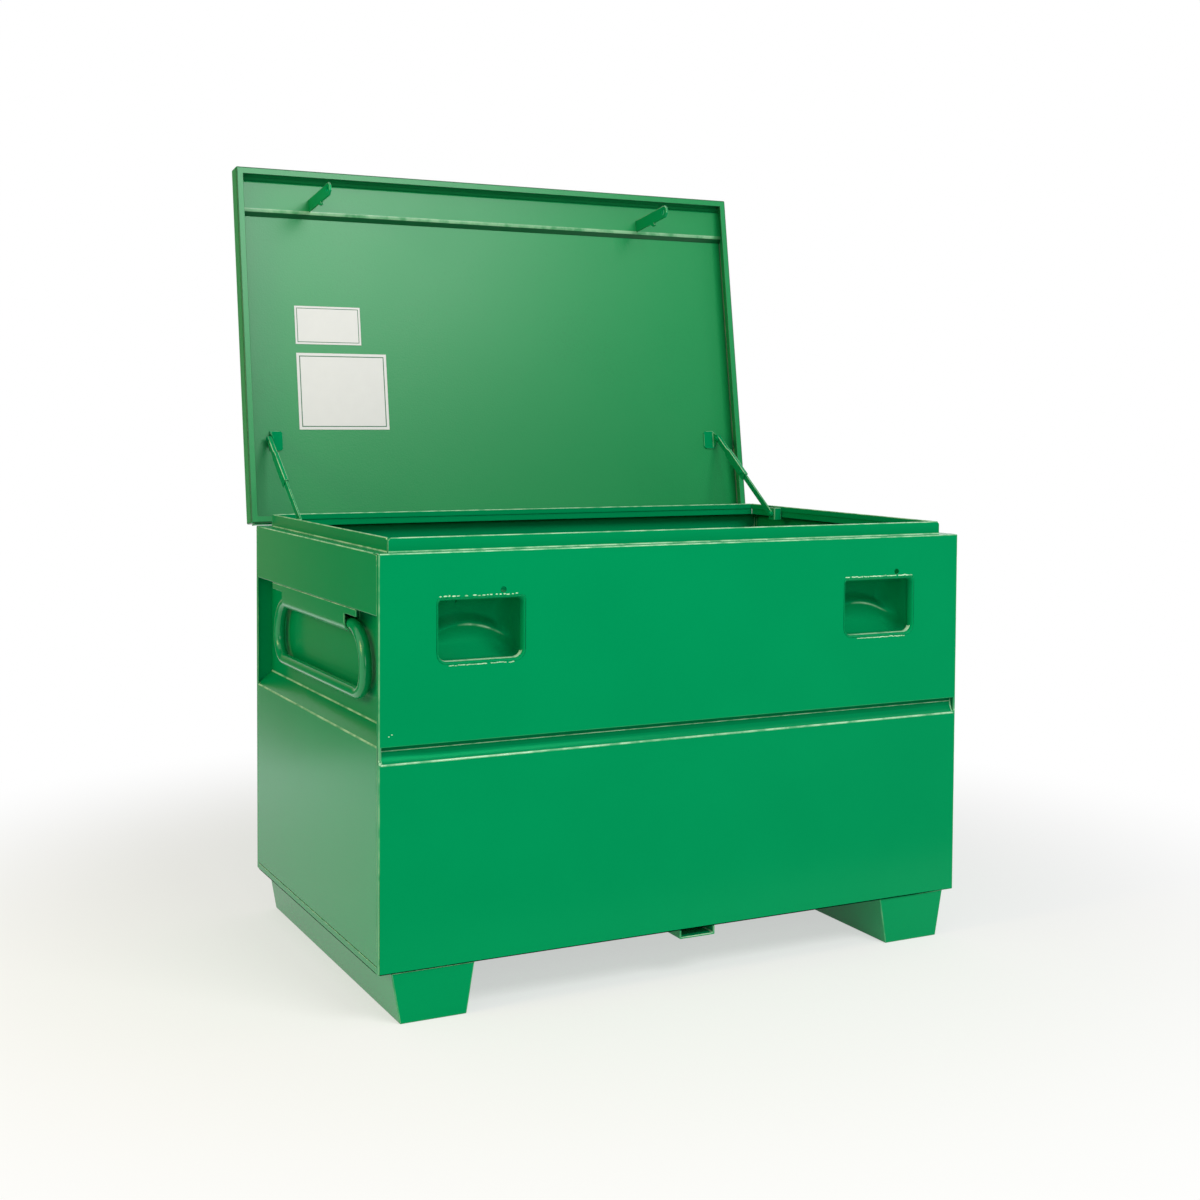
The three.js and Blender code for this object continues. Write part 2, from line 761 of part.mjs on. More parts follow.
for (const [name, side] of [['left', -1], ['right', 1]]) {
  const line = new THREE.Group();
  line.position.set(side * stayMid, bodyPivot.y, bodyPivot.z);
  line.rotation.x = Math.atan2(stayLine.z, stayLine.y);
  body.add(line);
  const headIn = barHalf + fitGap;
  addPiece(line, `${name}_stay_lower_link`, lowerLink(), enamel());
  addPiece(line, `${name}_stay_upper_link`, upperLink(), liner());
  addPiece(line, `${name}_stay_elbow_rivet`, rivet(side, elbow, 0, -liftedHead, liftedHead, true), enamel());
  addPiece(line, `${name}_stay_body_rivet`, rivet(side, 0, 0, -headIn, barHalf, false), enamel());
  const onLid = new THREE.Group();
  onLid.position.x = side * stayMid;
  lidFrame.add(onLid);
  addPiece(onLid, `${name}_stay_lid_bracket`, lidBracket(side), liner());
  const earInner = -channelOuter - linkClearance - bracketThickness - fitGap;
  addPiece(onLid, `${name}_stay_lid_rivet`,
    rivet(side, -stayLidReach, stayLidStand, earInner, liftedHead, true), enamel());
  const onBody = new THREE.Group();
  onBody.position.x = side * stayMid;
  body.add(onBody);
  addPiece(onBody, `${name}_stay_body_bracket`, bodyBracket(side), enamel());
}

// Handle bracket: a trough of bent plate hung in the recess, with a tab at each end of its outer leg
const bracketDeep = recessDepth - fitGap;
const troughRadius = bracketDeep / 2;
const bracketTop = recessTop - fitGap;
const troughUp = bracketTop - handleBracketLegs;
const troughX = halfWidth - troughRadius;
const bracketHalf = handleHalfWidth - handleBracketInset;
const tabHalf = bracketHalf + handleTabLength;

function handleBracket() {
  const outerX = halfWidth;
  const innerX = halfWidth - bracketDeep;
  const bore = troughRadius - handleBracketSheet;
  const section = polygon([
    [innerX, bracketTop],
    ...arcPoints(troughX, troughUp, troughRadius, Math.PI, 2 * Math.PI, 2 * cornerSteps),
    [outerX, bracketTop],
    [outerX - handleBracketSheet, bracketTop],
    ...arcPoints(troughX, troughUp, bore, 2 * Math.PI, Math.PI, 2 * cornerSteps),
    [innerX + handleBracketSheet, bracketTop],
  ]);
  return carve(
    alongY(section, -bracketHalf, bracketHalf),
    [block([outerX - handleBracketSheet, -tabHalf, bracketTop - handleTabHeight],
      [outerX, tabHalf, bracketTop])],
    [],
  );
}

// Drop handle: a round bar bent to a ring, lying loose on the bottom of the trough
class RingPath extends THREE.Curve {
  constructor(outline, x) {
    super();
    this.outline = outline;
    this.x = x;
  }

  getPoint(t) {
    const point = this.outline.getPoint(t);
    return new THREE.Vector3(this.x, point.x, point.y);
  }
}

function dropHandle() {
  const bore = troughRadius - handleBracketSheet;
  const axisUp = troughUp - (bore - gripRadius - fitGap);
  const down = axisUp - handleDrop;
  const outline = new THREE.Path();
  const quarter = Math.PI / 2;
  outline.moveTo(handleMeeting, axisUp);
  outline.lineTo(handleHalfWidth - handleTopRadius, axisUp);
  outline.absarc(handleHalfWidth - handleTopRadius, axisUp - handleTopRadius, handleTopRadius,
    quarter, 0, true);
  outline.lineTo(handleHalfWidth, down + handleBottomRadius);
  outline.absarc(handleHalfWidth - handleBottomRadius, down + handleBottomRadius, handleBottomRadius,
    0, -quarter, true);
  outline.lineTo(handleBottomRadius - handleHalfWidth, down);
  outline.absarc(handleBottomRadius - handleHalfWidth, down + handleBottomRadius, handleBottomRadius,
    -quarter, -2 * quarter, true);
  outline.lineTo(-handleHalfWidth, axisUp - handleTopRadius);
  outline.absarc(handleTopRadius - handleHalfWidth, axisUp - handleTopRadius, handleTopRadius,
    2 * quarter, quarter, true);
  outline.lineTo(-handleMeeting, axisUp);
  const section = disc(0, 0, gripRadius, gripSides);
  return new THREE.ExtrudeGeometry(section, {
    steps: gripSteps,
    bevelEnabled: false,
    extrudePath: new RingPath(outline, troughX),
  });
}

for (const [name, turn] of [['right', 0], ['left', Math.PI]]) {
  addPiece(body, `${name}_handle_bracket`, handleBracket(), enamel()).rotation.z = turn;
  addPiece(body, `${name}_handle`, dropHandle(), enamel()).rotation.z = turn;
}

// The origin is on the floor under the middle of the whole part as it stands open
part.updateMatrixWorld(true);
const bounds = new THREE.Box3().setFromObject(part);
part.position.y = -(bounds.min.y + bounds.max.y) / 2;

export default part;
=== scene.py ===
"""Jobsite storage box: the looks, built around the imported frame. Metres, the front faces -Y, +Z is up."""
import math
from contextlib import contextmanager

import bmesh
import bpy
import numpy as np
from mathutils import Matrix, Vector


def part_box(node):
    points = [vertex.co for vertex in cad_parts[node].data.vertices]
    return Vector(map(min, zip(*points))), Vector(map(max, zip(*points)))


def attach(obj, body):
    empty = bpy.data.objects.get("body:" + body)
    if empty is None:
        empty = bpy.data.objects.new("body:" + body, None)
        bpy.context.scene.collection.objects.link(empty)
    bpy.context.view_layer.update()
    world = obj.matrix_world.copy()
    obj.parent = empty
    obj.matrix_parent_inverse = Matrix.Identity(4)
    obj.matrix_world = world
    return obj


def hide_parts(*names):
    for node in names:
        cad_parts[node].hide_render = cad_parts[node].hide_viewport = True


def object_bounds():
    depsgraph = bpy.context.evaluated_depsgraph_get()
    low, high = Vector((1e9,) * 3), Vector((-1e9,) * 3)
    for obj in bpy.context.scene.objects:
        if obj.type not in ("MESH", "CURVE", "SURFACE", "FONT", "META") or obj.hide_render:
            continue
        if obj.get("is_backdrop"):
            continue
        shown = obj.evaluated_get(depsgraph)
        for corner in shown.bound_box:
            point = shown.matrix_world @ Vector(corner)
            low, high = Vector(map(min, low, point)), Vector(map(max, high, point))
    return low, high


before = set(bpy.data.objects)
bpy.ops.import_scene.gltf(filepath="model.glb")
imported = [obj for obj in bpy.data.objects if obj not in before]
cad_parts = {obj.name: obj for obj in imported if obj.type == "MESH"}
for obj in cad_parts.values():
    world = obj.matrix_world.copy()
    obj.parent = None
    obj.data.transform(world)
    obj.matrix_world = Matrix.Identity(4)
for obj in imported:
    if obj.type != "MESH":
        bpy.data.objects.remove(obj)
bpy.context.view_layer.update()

MM = 0.001
SIDES = ("left", "right")
ACROSS, UP = Vector((1, 0, 0)), Vector((0, 0, 1))

# Camera and light

# The camera's own solve: picture and focal length in pixels, sensor in millimetres, place in metres, and
# azimuth, elevation and roll in radians
PHOTO_SIDE = 1200
FOCAL_PIXELS = 1684.41
CENTRE_ROW = 483.65
SENSOR = 36
CAMERA_PLACE = (-1.5512, -3.1573, 1.0475)
CAMERA_TURN = (-0.4685, 0.0422, 0.0058)

WHITE = "#ffffff"
PAPER = "#f4f4f2"
BOARD_BLACK = "#101010"
WARM_LIGHT = "#ffe890"


def linear(code):
    """An sRGB hex colour as linear red, green, blue and alpha."""
    part = np.array([int(code[i:i + 2], 16) for i in (1, 3, 5)]) / 255
    low, high = part / 12.92, ((part + 0.055) / 1.055) ** 2.4
    return tuple(np.where(part <= 0.04045, low, high)) + (1.0,)


def toned(code, factor):
    """A hex colour made linear, with its red, green and blue multiplied by a factor."""
    return tuple(min(1, v * factor) for v in linear(code)[:3]) + (1.0,)


def add(tree, kind, inputs=(), **settings):
    """Adds a node. Settings are its own properties or the values of named inputs, with _ for a space.
    Inputs says what goes into an input: another node's output, which is joined to it, or a value."""
    node = tree.nodes.new(kind)
    for name, value in settings.items():
        if hasattr(node, name):
            setattr(node, name, value)
        else:
            node.inputs[name.replace("_", " ")].default_value = value
    for socket, source in dict(inputs).items():
        if isinstance(source, bpy.types.NodeSocket):
            tree.links.new(source, node.inputs[socket])
        else:
            node.inputs[socket].default_value = source
    return node


def emptied_tree(owner):
    """The node tree of a material or a world, with no nodes in it."""
    owner.use_nodes = True
    owner.node_tree.nodes.clear()
    return owner.node_tree


def in_scene(name, data):
    """A new object with this data, linked to the scene."""
    thing = bpy.data.objects.new(name, data)
    bpy.context.scene.collection.objects.link(thing)
    return thing


def around(count):
    """Equal steps of angle, once round."""
    return np.linspace(0, 2 * np.pi, count + 1)[:-1]


def place_camera():
    """A camera from the solve: azimuth, elevation and roll turn it, and the picture's centre is shifted."""
    azimuth, elevation, roll = CAMERA_TURN
    flat = math.cos(elevation)
    back = Vector((math.sin(azimuth) * flat, -math.cos(azimuth) * flat, math.sin(elevation)))
    right = Vector((math.cos(azimuth), math.sin(azimuth), 0))
    up = back.cross(right)
    turned_right = right * math.cos(roll) + up * math.sin(roll)
    turned_up = up * math.cos(roll) - right * math.sin(roll)
    data = bpy.data.cameras.new("camera")
    data.sensor_width = SENSOR
    data.lens = FOCAL_PIXELS / PHOTO_SIDE * SENSOR
    data.shift_y = (CENTRE_ROW - PHOTO_SIDE / 2) / PHOTO_SIDE
    camera = in_scene("camera", data)
    axes = Matrix((turned_right, turned_up, back)).transposed().to_4x4()
    camera.matrix_world = Matrix.Translation(CAMERA_PLACE) @ axes
    bpy.context.scene.camera = camera


def soft_lamp(name, place, target, size, power, tint=WHITE):
    """A rectangular lamp that shines from its place at a target; its power is in watts."""
    data = bpy.data.lights.new(name, "AREA")
    data.shape, data.energy = "RECTANGLE", power
    data.size, data.size_y = size
    data.color = linear(tint)[:3]
    lamp = in_scene(name, data)
    lamp.location = place
    lamp.rotation_euler = (Vector(target) - Vector(place)).to_track_quat("-Z", "Y").to_euler()


def background_share(tree):
    """1 for camera, glossy and transmission rays, 0 for the light that falls on the object."""
    path = add(tree, "ShaderNodeLightPath").outputs
    share = path["Is Camera Ray"]
    for ray in ("Is Glossy Ray", "Is Transmission Ray"):
        share = add(tree, "ShaderNodeMath", {0: share, 1: path[ray]}, operation="MAXIMUM").outputs[0]
    return share


def white_world(strength):
    """A world that lights the object at a plain level and is seen as white."""
    world = bpy.data.worlds.new("studio")
    bpy.context.scene.world = world
    tree = emptied_tree(world)
    light = add(tree, "ShaderNodeBackground", Color=linear(WHITE), Strength=strength)
    seen = add(tree, "ShaderNodeBackground", Color=linear(WHITE), Strength=1.0)
    mixed = add(tree, "ShaderNodeMixShader", {
        0: background_share(tree), 1: light.outputs[0], 2: seen.outputs[0]})
    add(tree, "ShaderNodeOutputWorld", {0: mixed.outputs[0]})


def studio_floor():
    """A round floor: matt paper that keeps the shadow near the box, and fades into white further out."""
    fade_start, fade_end = 0.9, 2.0
    reach, corners = 30.0, 96
    least_white = 0.55
    angle = around(corners)
    rim = np.stack([reach * np.cos(angle), reach * np.sin(angle), np.zeros(corners)], 1)
    mesh = bpy.data.meshes.new("floor")
    mesh.from_pydata(rim.tolist(), [], [list(range(corners))])
    paper = bpy.data.materials.new("floor_paper")
    tree = emptied_tree(paper)
    place = add(tree, "ShaderNodeTexCoord").outputs["Object"]
    away = add(tree, "ShaderNodeVectorMath", {0: place}, operation="LENGTH").outputs["Value"]
    fade = add(tree, "ShaderNodeMapRange", {0: away}, interpolation_type="SMOOTHSTEP",
               From_Min=fade_start, From_Max=fade_end, To_Min=least_white)
    seen = add(tree, "ShaderNodeMath", {0: fade.outputs[0], 1: background_share(tree)}, operation="MULTIPLY")
    matt = add(tree, "ShaderNodeBsdfDiffuse", Color=linear(PAPER))
    white = add(tree, "ShaderNodeEmission", Color=linear(WHITE), Strength=1.0)
    mixed = add(tree, "ShaderNodeMixShader", {0: seen.outputs[0], 1: matt.outputs[0], 2: white.outputs[0]})
    add(tree, "ShaderNodeOutputMaterial", {0: mixed.outputs[0]})
    mesh.materials.append(paper)
    in_scene("floor", mesh)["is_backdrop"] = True


def card(name, corners, code=BOARD_BLACK):
    """A studio card that only reflections see."""
    mesh = bpy.data.meshes.new(name)
    mesh.from_pydata(corners, [], [[0, 1, 2, 3]])
    board = in_scene(name, mesh)
    cover = bpy.data.materials.new(name)
    tree = emptied_tree(cover)
    glow = add(tree, "ShaderNodeEmission", Color=linear(code), Strength=1.0)
    add(tree, "ShaderNodeOutputMaterial", {0: glow.outputs[0]})
    mesh.materials.append(cover)
    board.visible_camera = board.visible_diffuse = board.visible_shadow = board.visible_transmission = False
    board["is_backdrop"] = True


def lying(near_left, far_left, near_right, far_right, near, far):
    """The corners of a card that lies 2 mm over the floor, between near and far along Y."""
    lift = 2 * MM
    return [(near_left, near, lift), (near_right, near, lift), (far_right, far, lift), (far_left, far, lift)]


bpy.context.scene.view_settings.view_transform = "Standard"
place_camera()
white_world(strength=0.5)
soft_lamp("key", place=(0.7, -3.3, 3.3), target=(0, 0, 0.8), size=(2.2, 1.5), power=82)
soft_lamp("left_fill", place=(-3.4, -0.6, 2.0), target=(0, 0, 0.5), size=(0.9, 1.1), power=34,
          tint=WARM_LIGHT)
soft_lamp("front_fill", place=(-1.3, -4.2, 1.5), target=(0, 0, 0.7), size=(1.4, 1.4), power=21)
studio_floor()

# Cards stand in front and to the left, paler further back on the left, and two lie on the floor
FRONT_WALL, LEFT_WALL = -6, -1.4
WALL_FOOT, WALL_TOP = 10 * MM, 5
card("front_card", [(-6, FRONT_WALL, -0.5), (8, FRONT_WALL, -0.5), (8, FRONT_WALL, 7), (-6, FRONT_WALL, 7)])
card("ground_card", lying(near_left=-1.6, far_left=-0.9, near_right=6, far_right=6, near=FRONT_WALL,
                          far=-0.95))
card("left_ground_card", lying(near_left=LEFT_WALL, far_left=LEFT_WALL, near_right=-1.12, far_right=-1.12,
                               near=1.7, far=9), "#8c8c70")
for number, (near, far, code) in enumerate([(0.4, 2.5, BOARD_BLACK), (2.5, 2.95, "#606048"),
                                            (2.95, 9.0, "#a0a078")], 1):
    card(f"left_card_{number}", [(LEFT_WALL, near, WALL_FOOT), (LEFT_WALL, far, WALL_FOOT),
                                 (LEFT_WALL, far, WALL_TOP), (LEFT_WALL, near, WALL_TOP)], code)


# Materials
ENAMEL = "#008f55"
THIN_ENAMEL = "#0c8c4c"
ENAMEL_MIRROR = "#00c878"
# Colours of painted light: a pale painted highlight on roundings, welds and creases, and a dark painted shade
PAINTED_HIGHLIGHT = "#bce8c0"
PAINTED_SHADE = "#003c1e"
FILM_WHITE = "#e4e6e6"
PRINT_GREEN = "#0d6b45"
IOR_OF_COAT = 1.5

# Widths of the patterns in the paint and the film, and the height of the paint's ripple
CLOUD, PATCH, GRIT, MOTTLE = 220 * MM, 26 * MM, 4.5 * MM, 25 * MM
RIPPLE = 0.4 * MM


def paint(name, code, roughness, grain, relief, tint=WHITE, shade=0.06, speckle=0.3):
    """Sprayed and cured paint on steel: a slow change of tone over the sheet, the fine ripple called orange
    peel, as wide as grain, and painted light from a face attribute: above 0 painted highlights, pale and
    shinier, broken up unevenly, and below 0 painted shade, dark, in creases that light does not reach."""
    material = bpy.data.materials.new(name)
    tree = emptied_tree(material)
    place = add(tree, "ShaderNodeTexCoord").outputs["Object"]
    cloud = add(tree, "ShaderNodeTexNoise", {"Vector": place}, Scale=1 / CLOUD, Detail=3.0).outputs["Fac"]
    grit = add(tree, "ShaderNodeTexNoise", {"Vector": place}, Scale=1 / GRIT, Detail=3.0).outputs["Fac"]
    mixed = add(tree, "ShaderNodeMath", {0: grit, 1: speckle, 2: cloud}, operation="MULTIPLY_ADD")
    tone = add(tree, "ShaderNodeMix", {
        "Factor": mixed.outputs[0], 6: toned(code, 1 - shade), 7: toned(code, 1 + shade)}, data_type="RGBA")
    peel = add(tree, "ShaderNodeTexNoise", {"Vector": place}, Scale=1 / grain, Detail=2.0)
    bump = add(tree, "ShaderNodeBump", {"Height": peel.outputs["Fac"]}, Strength=relief, Distance=RIPPLE)
    gloss = add(tree, "ShaderNodeMapRange", {0: cloud}, To_Min=roughness * 0.9, To_Max=roughness * 1.1)
    patch = add(tree, "ShaderNodeTexNoise", {"Vector": place}, Scale=1 / PATCH, Detail=3.0)
    broken = add(tree, "ShaderNodeMapRange", {0: patch.outputs["Fac"]}, From_Min=0.36, From_Max=0.6,
                 To_Min=0.3)
    # Painted light: above 0 it paints a pale highlight with a whiter, sharper reflection, and below 0 it
    # paints dark shade
    edge = add(tree, "ShaderNodeAttribute", attribute_name="painted_light").outputs["Fac"]
    highlight_share = add(tree, "ShaderNodeMath", {0: edge, 1: broken.outputs[0]}, operation="MULTIPLY").outputs[0]
    deep = add(tree, "ShaderNodeMath", {0: edge, 1: -1}, operation="MULTIPLY", use_clamp=True).outputs[0]
    colour = add(tree, "ShaderNodeMix", {"Factor": highlight_share, 6: tone.outputs[2], 7: linear(PAINTED_HIGHLIGHT)},
                 data_type="RGBA")
    shaded = add(tree, "ShaderNodeMix", {"Factor": deep, 6: colour.outputs[2], 7: linear(PAINTED_SHADE)},
                 data_type="RGBA")
    shine = add(tree, "ShaderNodeMix", {"Factor": highlight_share, 6: linear(tint), 7: linear(WHITE)}, data_type="RGBA")
    sheen = add(tree, "ShaderNodeMath", {0: highlight_share, 1: -0.4 * roughness, 2: gloss.outputs[0]},
                operation="MULTIPLY_ADD")
    skin = add(tree, "ShaderNodeBsdfPrincipled", {
        "Base Color": shaded.outputs[2], "Roughness": sheen.outputs[0], "Normal": bump.outputs[0],
        "Specular Tint": shine.outputs[2]}, IOR=IOR_OF_COAT)
    add(tree, "ShaderNodeOutputMaterial", {0: skin.outputs[0]})
    return material


# Sprayed enamel, glossy: deep green, with pale reflection only where the sheet is seen at a low angle, and
# painted highlights on its roundings
green_enamel = paint("glossy_green_enamel", ENAMEL, roughness=0.22, grain=4 * MM, relief=0.2,
                     tint=ENAMEL_MIRROR)
# The same enamel on round bar, which mirrors the lamps in thin cream lines
bar_enamel = paint("glossy_green_enamel_on_bar", ENAMEL, roughness=0.16, grain=4 * MM, relief=0.15)
# The same enamel inside the lock cups, duller, so that it mirrors no lamp
satin_enamel = paint("satin_green_enamel", ENAMEL, roughness=0.5, grain=4 * MM, relief=0.3,
                     tint=ENAMEL_MIRROR)
# The same enamel, sprayed thin inside the lid: hazier, with a fine grain of dry spray that catches the light
liner_enamel = paint("thin_green_enamel", THIN_ENAMEL, roughness=0.34, grain=3.5 * MM, relief=0.5, shade=0.12,
                     speckle=1.2)


def bordered_film(name, node, margin, line):
    """Printed vinyl film: matt white with a faint mottle and a green frame. The distance from the label's
    edge, measured across and up the leaning lid, picks the frame's line."""
    lean = math.radians(8.6)
    low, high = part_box(node)
    middle = (low + high) / 2
    up = Vector((0, math.sin(lean), math.cos(lean)))
    wide, tall = high.x - low.x, (high.z - low.z) / math.cos(lean)
    material = bpy.data.materials.new(name)
    tree = emptied_tree(material)
    place = add(tree, "ShaderNodeTexCoord").outputs["Object"]
    mottle = add(tree, "ShaderNodeTexNoise", {"Vector": place}, Scale=1 / MOTTLE, Detail=4.0)
    tone = add(tree, "ShaderNodeMix", {
        "Factor": mottle.outputs["Fac"], 6: toned(FILM_WHITE, 0.95), 7: linear(FILM_WHITE)},
        data_type="RGBA")
    from_middle = add(tree, "ShaderNodeVectorMath", {0: place, 1: middle}, operation="SUBTRACT").outputs[0]
    edges = []
    for direction, size in ((ACROSS, wide), (up, tall)):
        along = add(tree, "ShaderNodeVectorMath", {0: from_middle, 1: direction}, operation="DOT_PRODUCT")
        far = add(tree, "ShaderNodeMath", {0: along.outputs["Value"]}, operation="ABSOLUTE")
        past = add(tree, "ShaderNodeMath", {0: far.outputs[0], 1: size / 2 - margin}, operation="SUBTRACT")
        edges.append(past.outputs[0])
    nearest = add(tree, "ShaderNodeMath", {0: edges[0], 1: edges[1]}, operation="MAXIMUM")
    on_line = add(tree, "ShaderNodeMath", {0: nearest.outputs[0], 1: 0, 2: line / 2}, operation="COMPARE")
    printed = add(tree, "ShaderNodeMix", {
        "Factor": on_line.outputs[0], 6: tone.outputs[2], 7: linear(PRINT_GREEN)}, data_type="RGBA")
    skin = add(tree, "ShaderNodeBsdfPrincipled", {"Base Color": printed.outputs[2]}, Roughness=0.5,
               IOR=IOR_OF_COAT)
    add(tree, "ShaderNodeOutputMaterial", {0: skin.outputs[0]})
    return material


# Pieces

# Normals whose product is above SAME_WAY count as one direction, and an edge that turns by more than SHARP as
# a fold; faces that meet within LEVEL become one, and so do points closer than a JOIN distance
SAME_WAY = 0.9999
SHARP = math.radians(30)
BEND = 2 * MM
CUT_EDGE_SHARE = 0.38
JOIN_CAD, JOIN_SKIN, JOIN_CUT = 0.01 * MM, 0.001 * MM, 0.05 * MM
LEVEL = math.radians(0.5)


def values(items, name, width=1, kind=float):
    """One property of every vertex, edge, loop or face of a mesh, as an array."""
    flat = np.empty(len(items) * width, kind)
    items.foreach_get(name, flat)
    return flat.reshape(-1, width) if width > 1 else flat


def set_painted_light(mesh, amount):
    """Sets the painted light on each face, or on all: above 0 a painted highlight, below 0 painted shade."""
    amounts = np.broadcast_to(amount, len(mesh.polygons)).astype(np.float32)
    mesh.attributes["painted_light"].data.foreach_set("value", amounts)


def finish_piece(name, mesh, body, material, nodes):
    """Makes a piece of a mesh: its material, its body, and the nodes that it stands for, which it hides."""
    mesh.materials.clear()
    mesh.materials.append(material)
    if "painted_light" not in mesh.attributes:
        mesh.attributes.new("painted_light", "FLOAT", "FACE")
    piece = in_scene(name, mesh)
    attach(piece, body)
    if nodes:
        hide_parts(*nodes)
    return piece


@contextmanager
def opened(mesh):
    """The mesh opened for work on its shape, and written back afterwards."""
    shape = bmesh.new()
    shape.from_mesh(mesh)
    yield shape
    shape.to_mesh(mesh)
    shape.free()


def face_of_loops(mesh):
    """The face of every loop."""
    sides = values(mesh.polygons, "loop_total", 1, int)
    return np.repeat(np.arange(len(sides)), sides)


def edge_lengths(mesh):
    """The length of every edge."""
    ends = values(mesh.edges, "vertices", 2, int)
    points = values(mesh.vertices, "co", 3)
    return np.linalg.norm(points[ends[:, 0]] - points[ends[:, 1]], axis=1)


def bend_weights(mesh, bend):
    """The width of the rounding at each edge, as a share of bend: at a fold it is the bend's radius, and
    beside a narrow face, such as the cut edge of a sheet, it is a share of that face's width. Flat edges
    get none. Also tells which faces are flat, that is, have no soft edge."""
    edge = values(mesh.loops, "edge_index", 1, int)
    face, count = face_of_loops(mesh), len(mesh.polygons)
    normal = values(mesh.polygons, "normal", 3)
    width = 2 * values(mesh.polygons, "area") / np.bincount(face, edge_lengths(mesh)[edge], count)
    pair = face[np.argsort(edge, kind="stable")].reshape(-1, 2)
    turn = np.einsum("ij,ij->i", normal[pair[:, 0]], normal[pair[:, 1]])
    rounding = np.minimum(bend, CUT_EDGE_SHARE * width[pair].min(1)) / bend
    is_sharp = turn < math.cos(SHARP)
    flat = np.ones(count, bool)
    flat[pair[(turn < SAME_WAY) & ~is_sharp].ravel()] = False
    return np.where(is_sharp, rounding, 0), flat


def applied(piece):
    """Puts the piece's modifiers into its mesh."""
    graph = bpy.context.evaluated_depsgraph_get()
    shaped = bpy.data.meshes.new_from_object(
        piece.evaluated_get(graph), preserve_all_data_layers=True, depsgraph=graph)
    piece.modifiers.clear()
    piece.data = shaped
    return shaped


def even_shading(mesh):
    """Flat faces, and strips of a rounding that lie in their plane, keep their own normal at every corner;
    on roundings and curves the corners take the mean of the faces around, where a flat face counts a
    thousandfold. Normals that differ from a flat face's by less than a degree are made equal to it."""
    normal = values(mesh.polygons, "normal", 3)
    kept = values(mesh.polygons, "material_index", 1, int) == 0
    flat = kept & (values(mesh.attributes["flat_face"].data, "value", 1, int) == 1)
    face = face_of_loops(mesh)
    corner = values(mesh.loops, "vertex_index", 1, int)
    plane = np.zeros((len(mesh.vertices), 3))
    plane[corner[flat[face]]] = normal[face[flat[face]]]
    same = np.full(len(flat), -1.0)
    np.maximum.at(same, face, np.einsum("ij,ij->i", plane[corner], normal[face]))
    flat |= same > SAME_WAY
    weight = values(mesh.polygons, "area") * np.where(flat, 1000, 1)
    mean = np.zeros((len(mesh.vertices), 3))
    np.add.at(mean, corner, (normal * weight[:, None])[face])
    mean /= np.linalg.norm(mean, axis=1)[:, None] + 1e-20
    custom = np.where(flat[face][:, None], normal[face], mean[corner])
    close = np.einsum("ij,ij->i", plane[corner], custom) > SAME_WAY
    mesh.normals_split_custom_set(np.where(close[:, None], plane[corner], custom))


def paint_edge_light(mesh, edge_light):
    """Paints highlights on the roundings: full where they face up, towards the light, less where they face
    sideways and none where they face down; an amount below 0 paints them dark with shade all over. Small
    holes get no highlight."""
    none_at, all_at = -0.3, 0.5
    hole_side = 4 * MM
    longest = np.zeros(len(mesh.polygons))
    np.maximum.at(longest, face_of_loops(mesh), edge_lengths(mesh)[values(mesh.loops, "edge_index", 1, int)])
    rounded = values(mesh.polygons, "material_index", 1, int) == 1
    up = values(mesh.polygons, "normal", 3)[:, 2]
    facing = np.clip((up - none_at) / (all_at - none_at), 0, 1) if edge_light > 0 else 1
    set_painted_light(mesh, rounded * (longest > hole_side) * facing * edge_light)
    mesh.polygons.foreach_set("material_index", [0] * len(mesh.polygons))
    mesh.materials.pop()


def is_hollow(face):
    """Tells whether a face turns inwards at any of its corners."""
    return any(not loop.is_convex for loop in face.loops)


# The front and rear panels are divided level with the groove's edges, and the front also in a frame round
# each cup
GROOVE_LOW, GROOVE_HIGH = 449.5 * MM, 479 * MM
CUP_MARGIN, CUP_MARGIN_ABOVE = 10 * MM, 24 * MM
CUTS = {node: [(up * UP, UP) for up in (GROOVE_LOW, GROOVE_HIGH)] for node in ("front_panel", "rear_panel")}
for side in SIDES:
    low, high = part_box(f"{side}_lock_cup")
    CUTS["front_panel"] += [(x * ACROSS, ACROSS) for x in (low.x - CUP_MARGIN, high.x + CUP_MARGIN)]
CUTS["front_panel"] += [(up * UP, UP) for up in (low.z - CUP_MARGIN, high.z + CUP_MARGIN_ABOVE)]


def folded(name, node, body, material, edge_light=0.85, bend=BEND):
    """The CAD node's own shape with its folds rounded to the bend's radius and its cut edges eased;
    its edge light is the strength of the painted highlight on the roundings, or below 0 of their painted
    shade."""
    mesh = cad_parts[node].data.copy()
    with opened(mesh) as shape:
        bmesh.ops.remove_doubles(shape, verts=shape.verts, dist=JOIN_CAD)
        bmesh.ops.dissolve_limit(shape, angle_limit=LEVEL, verts=shape.verts, edges=shape.edges)
    rounding, flat = bend_weights(mesh, bend)
    weight = mesh.attributes.get("bevel_weight_edge")
    weight = weight or mesh.attributes.new("bevel_weight_edge", "FLOAT", "EDGE")
    weight.data.foreach_set("value", rounding.astype(np.float32))
    mesh.attributes.new("flat_face", "INT", "FACE").data.foreach_set("value", flat.astype(np.int32))
    with opened(mesh) as shape:
        for place, across in CUTS.get(node, ()):
            parts = list(shape.verts) + list(shape.edges) + list(shape.faces)
            bmesh.ops.bisect_plane(shape, geom=parts, dist=JOIN_CUT, plane_co=place, plane_no=across)
        many_sided = [face for face in shape.faces if len(face.verts) > 4 and is_hollow(face)]
        bmesh.ops.triangulate(shape, faces=many_sided)
    mesh.polygons.foreach_set("use_smooth", [True] * len(mesh.polygons))
    piece = finish_piece(name, mesh, body, material, [node])
    mesh.materials.append(material)
    eased = piece.modifiers.new("rounded_folds", "BEVEL")
    eased.limit_method, eased.width, eased.segments, eased.material = "WEIGHT", bend, 3, 1
    eased.use_clamp_overlap = eased.loop_slide = False
    mesh = applied(piece)
    even_shading(mesh)
    paint_edge_light(mesh, edge_light)
    return piece


